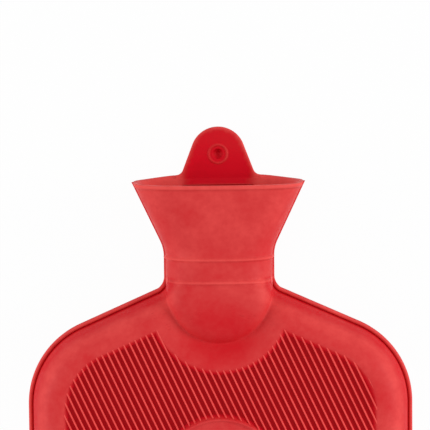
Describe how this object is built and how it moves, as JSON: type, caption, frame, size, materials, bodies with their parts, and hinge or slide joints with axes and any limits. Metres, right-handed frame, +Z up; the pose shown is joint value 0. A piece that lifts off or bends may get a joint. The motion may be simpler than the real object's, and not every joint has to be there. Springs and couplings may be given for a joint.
{
  "type": "hot water bottle",
  "caption": "Red rubber hot water bottle with diagonal ribs, a plain round medallion, a filling funnel with a hanging tab, and a screw stopper in its neck.",
  "frame": {"origin": "under the middle of the bottle's length and width, on the surface that its back lies on", "axes": "+Y from the foot to the funnel and its hanging tab, +Z up through the thickness, out of the ribbed front, +X to the right of the front"},
  "size_m": [0.2, 0.325, 0.0516],
  "materials": {
    "red_rubber": "matte moulded natural rubber with a faint bloom",
    "insert_brass": "turned",
    "stopper_plastic": "moulded, fine satin",
    "washer_rubber": "matte"
  },
  "bodies": {
    "bottle": {"bottle": "red_rubber", "neck_insert": "insert_brass"},
    "washer": {"stopper_washer": "washer_rubber"},
    "stopper": {"stopper": "stopper_plastic"}
  },
  "joints": [
    {"name": "stopper_lift", "type": "slide", "parent": "bottle", "child": "washer", "axis": [0, 1, 0], "range_m": [0, 0.014]},
    {"name": "stopper_turn", "type": "hinge", "parent": "washer", "child": "stopper", "pos_m": [0, 0.1, 0.02305], "axis": [0, 1, 0], "range_deg": [0, 1260]}
  ],
  "couplings": [
    {"joint": "stopper_lift", "follows": "stopper_turn", "m_per_rad": 0.0006366}
  ]
}
